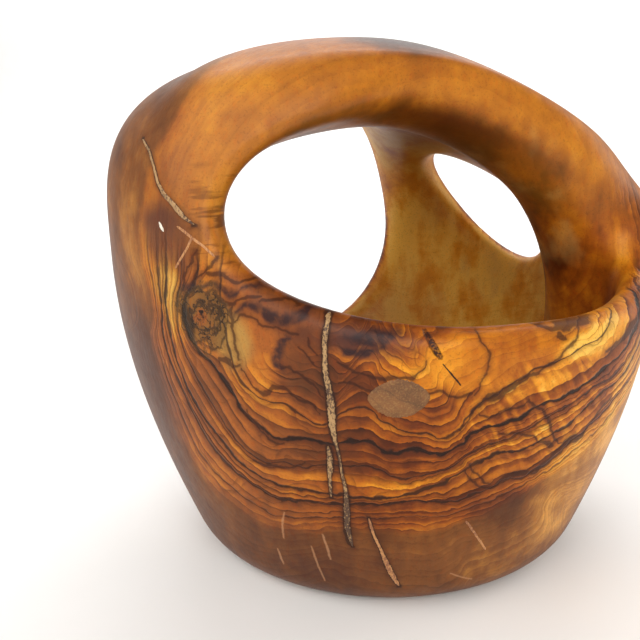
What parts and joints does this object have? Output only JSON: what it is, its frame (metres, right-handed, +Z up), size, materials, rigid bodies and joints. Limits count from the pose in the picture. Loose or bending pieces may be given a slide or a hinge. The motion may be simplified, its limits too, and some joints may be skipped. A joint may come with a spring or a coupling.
{
  "type": "yarn bowl",
  "caption": "Carved wooden yarn bowl: a thick cup whose wall sweeps up into a broad arch and a back pillar, with openings between them and filled cracks in the wood.",
  "frame": {"origin": "middle of the flat base, on the surface the bowl stands on", "axes": "+Z up; -Y is the front, where the low rim and the large opening face the viewer; +X is the side of the steep end of the arch"},
  "size_m": [0.1443, 0.1312, 0.1294],
  "materials": {
    "wood": "oiled and polished, satin gloss",
    "filling": "sanded mix of wood dust and glue, matte",
    "glue": "dried pale glue, satin",
    "patch": "sanded filler, matte"
  },
  "bodies": {
    "root": {"bowl_body": "wood", "front_crack_fill": "filling", "front_split_fill": "filling", "left_crack_fill": "filling", "left_fork_fill": "filling", "left_fleck_fill": "glue", "base_crack_fill": "filling", "right_check_fill": "filling", "patch_fill": "patch"}
  },
  "joints": []
}
